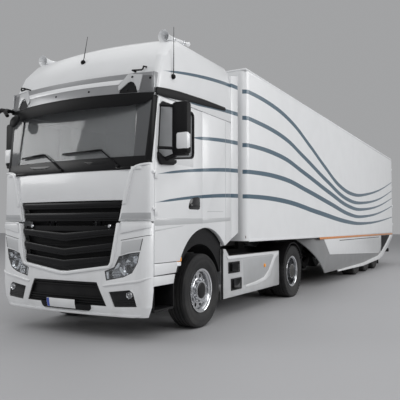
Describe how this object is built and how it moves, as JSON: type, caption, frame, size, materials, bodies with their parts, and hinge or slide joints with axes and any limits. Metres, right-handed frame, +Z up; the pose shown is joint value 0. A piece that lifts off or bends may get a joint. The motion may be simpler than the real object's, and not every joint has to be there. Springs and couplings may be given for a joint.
{
  "type": "articulated semi truck",
  "caption": "Cab-over tractor with a tilting high-roof cab, hinged at its king pin to a box semi-trailer with aerodynamic side skirts; steers, rolls and opens its doors.",
  "frame": {"origin": "on the ground at the middle of the overall length and width", "axes": "+Z up, front towards -Y, the vehicle's left side towards +X"},
  "size_m": [3.19, 16.42, 4],
  "materials": {
    "white_paint": "gloss white body paint",
    "black_plastic": "grained black moulding",
    "chassis_paint": "dark grey chassis paint",
    "cast_iron": "dark casting",
    "tank_metal": "brushed tank shell",
    "tyre_rubber": "black tyre rubber",
    "rim_metal": "polished wheel metal",
    "glazing": "lightly tinted glass",
    "lamp_glass": "clear lamp cover",
    "visor_grey": "silver grey visor moulding",
    "cab_lining": "grey lining",
    "dash_plastic": "dark soft moulding",
    "floor_board": "brown floor board",
    "portal_steel": "pale grey frame paint"
  },
  "bodies": {
    "tractor": {"chassis_frame": "chassis_paint", "front_axle": "chassis_paint", "drive_axle": "chassis_paint", "engine_block": "cast_iron", "springs": "chassis_paint", "fuel_tanks": "tank_metal", "side_fairings": "white_paint", "entry_steps": "white_paint", "mudguards": "black_plastic", "fifth_wheel": "cast_iron", "bumper": "white_paint", "lower_grille": "black_plastic", "headlamps": "lamp_glass"},
    "cab": {"cab_front": "white_paint", "windscreen": "glazing", "front_flap": "white_paint", "upper_grille": "black_plastic", "wipers": "black_plastic", "cab_floor": "cab_lining", "cab_rear_wall": "cab_lining", "cab_sides": "white_paint", "cab_roof": "white_paint", "sun_visor": "visor_grey", "air_deflectors": "white_paint", "roof_fittings": "white_paint", "dashboard": "dash_plastic", "seats": "cab_lining"},
    "trailer": {"trailer_chassis": "chassis_paint", "trailer_axles": "chassis_paint", "trailer_floor": "floor_board", "trailer_front_wall": "white_paint", "trailer_walls": "white_paint", "trailer_roof": "white_paint", "rear_portal": "portal_steel", "side_skirts": "white_paint"},
    "tie_rod": {"tie_rod": "chassis_paint"},
    "door_left": {"door_left": "white_paint", "door_glass_left": "glazing", "mirror_left": "black_plastic"},
    "knuckle_left": {"knuckle_left": "chassis_paint"},
    "front_wheel_left": {"front_tyre_left": "tyre_rubber", "front_rim_left": "rim_metal"},
    "drive_wheel_left": {"drive_tyres_left": "tyre_rubber", "drive_rims_left": "rim_metal"},
    "rear_door_left": {"rear_door_left": "white_paint"},
    "trailer_wheel_left_1": {"trailer_wheel_left_1": "tyre_rubber"},
    "trailer_wheel_left_2": {"trailer_wheel_left_2": "tyre_rubber"},
    "trailer_wheel_left_3": {"trailer_wheel_left_3": "tyre_rubber"},
    "door_right": {"door_right": "white_paint", "door_glass_right": "glazing", "mirror_right": "black_plastic"},
    "knuckle_right": {"knuckle_right": "chassis_paint"},
    "front_wheel_right": {"front_tyre_right": "tyre_rubber", "front_rim_right": "rim_metal"},
    "drive_wheel_right": {"drive_tyres_right": "tyre_rubber", "drive_rims_right": "rim_metal"},
    "rear_door_right": {"rear_door_right": "white_paint"},
    "trailer_wheel_right_1": {"trailer_wheel_right_1": "tyre_rubber"},
    "trailer_wheel_right_2": {"trailer_wheel_right_2": "tyre_rubber"},
    "trailer_wheel_right_3": {"trailer_wheel_right_3": "tyre_rubber"}
  },
  "joints": [
    {"name": "articulation", "type": "hinge", "parent": "tractor", "child": "trailer", "pos_m": [0, -3.79, 1.15], "axis": [0, 0, 1], "range_deg": [-90, 90]},
    {"name": "cab_tilt", "type": "hinge", "parent": "tractor", "child": "cab", "pos_m": [0, -8.025, 1.53], "axis": [1, 0, 0], "range_deg": [0, 60]},
    {"name": "steer_left", "type": "hinge", "parent": "tractor", "child": "knuckle_left", "pos_m": [0.9, -6.79, 0.507], "axis": [0, 0, 1], "range_deg": [-40, 40]},
    {"name": "front_wheel_left_spin", "type": "hinge", "parent": "knuckle_left", "child": "front_wheel_left", "pos_m": [1.089, -6.79, 0.507], "axis": [1, 0, 0], "continuous": true},
    {"name": "drive_wheel_left_spin", "type": "hinge", "parent": "tractor", "child": "drive_wheel_left", "pos_m": [1, -3.09, 0.507], "axis": [1, 0, 0], "continuous": true},
    {"name": "door_left_hinge", "type": "hinge", "parent": "cab", "child": "door_left", "pos_m": [1.255, -7.993, 2], "axis": [0, 0, -1], "range_deg": [0, 70]},
    {"name": "rear_door_left_hinge", "type": "hinge", "parent": "trailer", "child": "rear_door_left", "pos_m": [1.273, 8.202, 2.5], "axis": [0, 0, -1], "range_deg": [0, 270]},
    {"name": "trailer_wheel_left_1_spin", "type": "hinge", "parent": "trailer", "child": "trailer_wheel_left_1", "pos_m": [0.9925, 2.55, 0.536], "axis": [1, 0, 0], "continuous": true},
    {"name": "trailer_wheel_left_2_spin", "type": "hinge", "parent": "trailer", "child": "trailer_wheel_left_2", "pos_m": [0.9925, 3.86, 0.536], "axis": [1, 0, 0], "continuous": true},
    {"name": "trailer_wheel_left_3_spin", "type": "hinge", "parent": "trailer", "child": "trailer_wheel_left_3", "pos_m": [0.9925, 5.17, 0.536], "axis": [1, 0, 0], "continuous": true},
    {"name": "steer_right", "type": "hinge", "parent": "tractor", "child": "knuckle_right", "pos_m": [-0.9, -6.79, 0.507], "axis": [0, 0, 1], "range_deg": [-40, 40]},
    {"name": "front_wheel_right_spin", "type": "hinge", "parent": "knuckle_right", "child": "front_wheel_right", "pos_m": [-1.089, -6.79, 0.507], "axis": [1, 0, 0], "continuous": true},
    {"name": "drive_wheel_right_spin", "type": "hinge", "parent": "tractor", "child": "drive_wheel_right", "pos_m": [-1, -3.09, 0.507], "axis": [1, 0, 0], "continuous": true},
    {"name": "door_right_hinge", "type": "hinge", "parent": "cab", "child": "door_right", "pos_m": [-1.255, -7.993, 2], "axis": [0, 0, 1], "range_deg": [0, 70]},
    {"name": "rear_door_right_hinge", "type": "hinge", "parent": "trailer", "child": "rear_door_right", "pos_m": [-1.273, 8.202, 2.5], "axis": [0, 0, 1], "range_deg": [0, 270]},
    {"name": "trailer_wheel_right_1_spin", "type": "hinge", "parent": "trailer", "child": "trailer_wheel_right_1", "pos_m": [-0.9925, 2.55, 0.536], "axis": [1, 0, 0], "continuous": true},
    {"name": "trailer_wheel_right_2_spin", "type": "hinge", "parent": "trailer", "child": "trailer_wheel_right_2", "pos_m": [-0.9925, 3.86, 0.536], "axis": [1, 0, 0], "continuous": true},
    {"name": "trailer_wheel_right_3_spin", "type": "hinge", "parent": "trailer", "child": "trailer_wheel_right_3", "pos_m": [-0.9925, 5.17, 0.536], "axis": [1, 0, 0], "continuous": true},
    {"name": "tie_rod_pivot", "type": "hinge", "parent": "knuckle_left", "child": "tie_rod", "pos_m": [0.9, -6.53, 0.342], "axis": [0, 0, 1], "range_deg": [-40, 40]}
  ],
  "couplings": [
    {"joint": "steer_right", "follows": "steer_left", "ratio": 1},
    {"joint": "tie_rod_pivot", "follows": "steer_left", "ratio": -1}
  ]
}
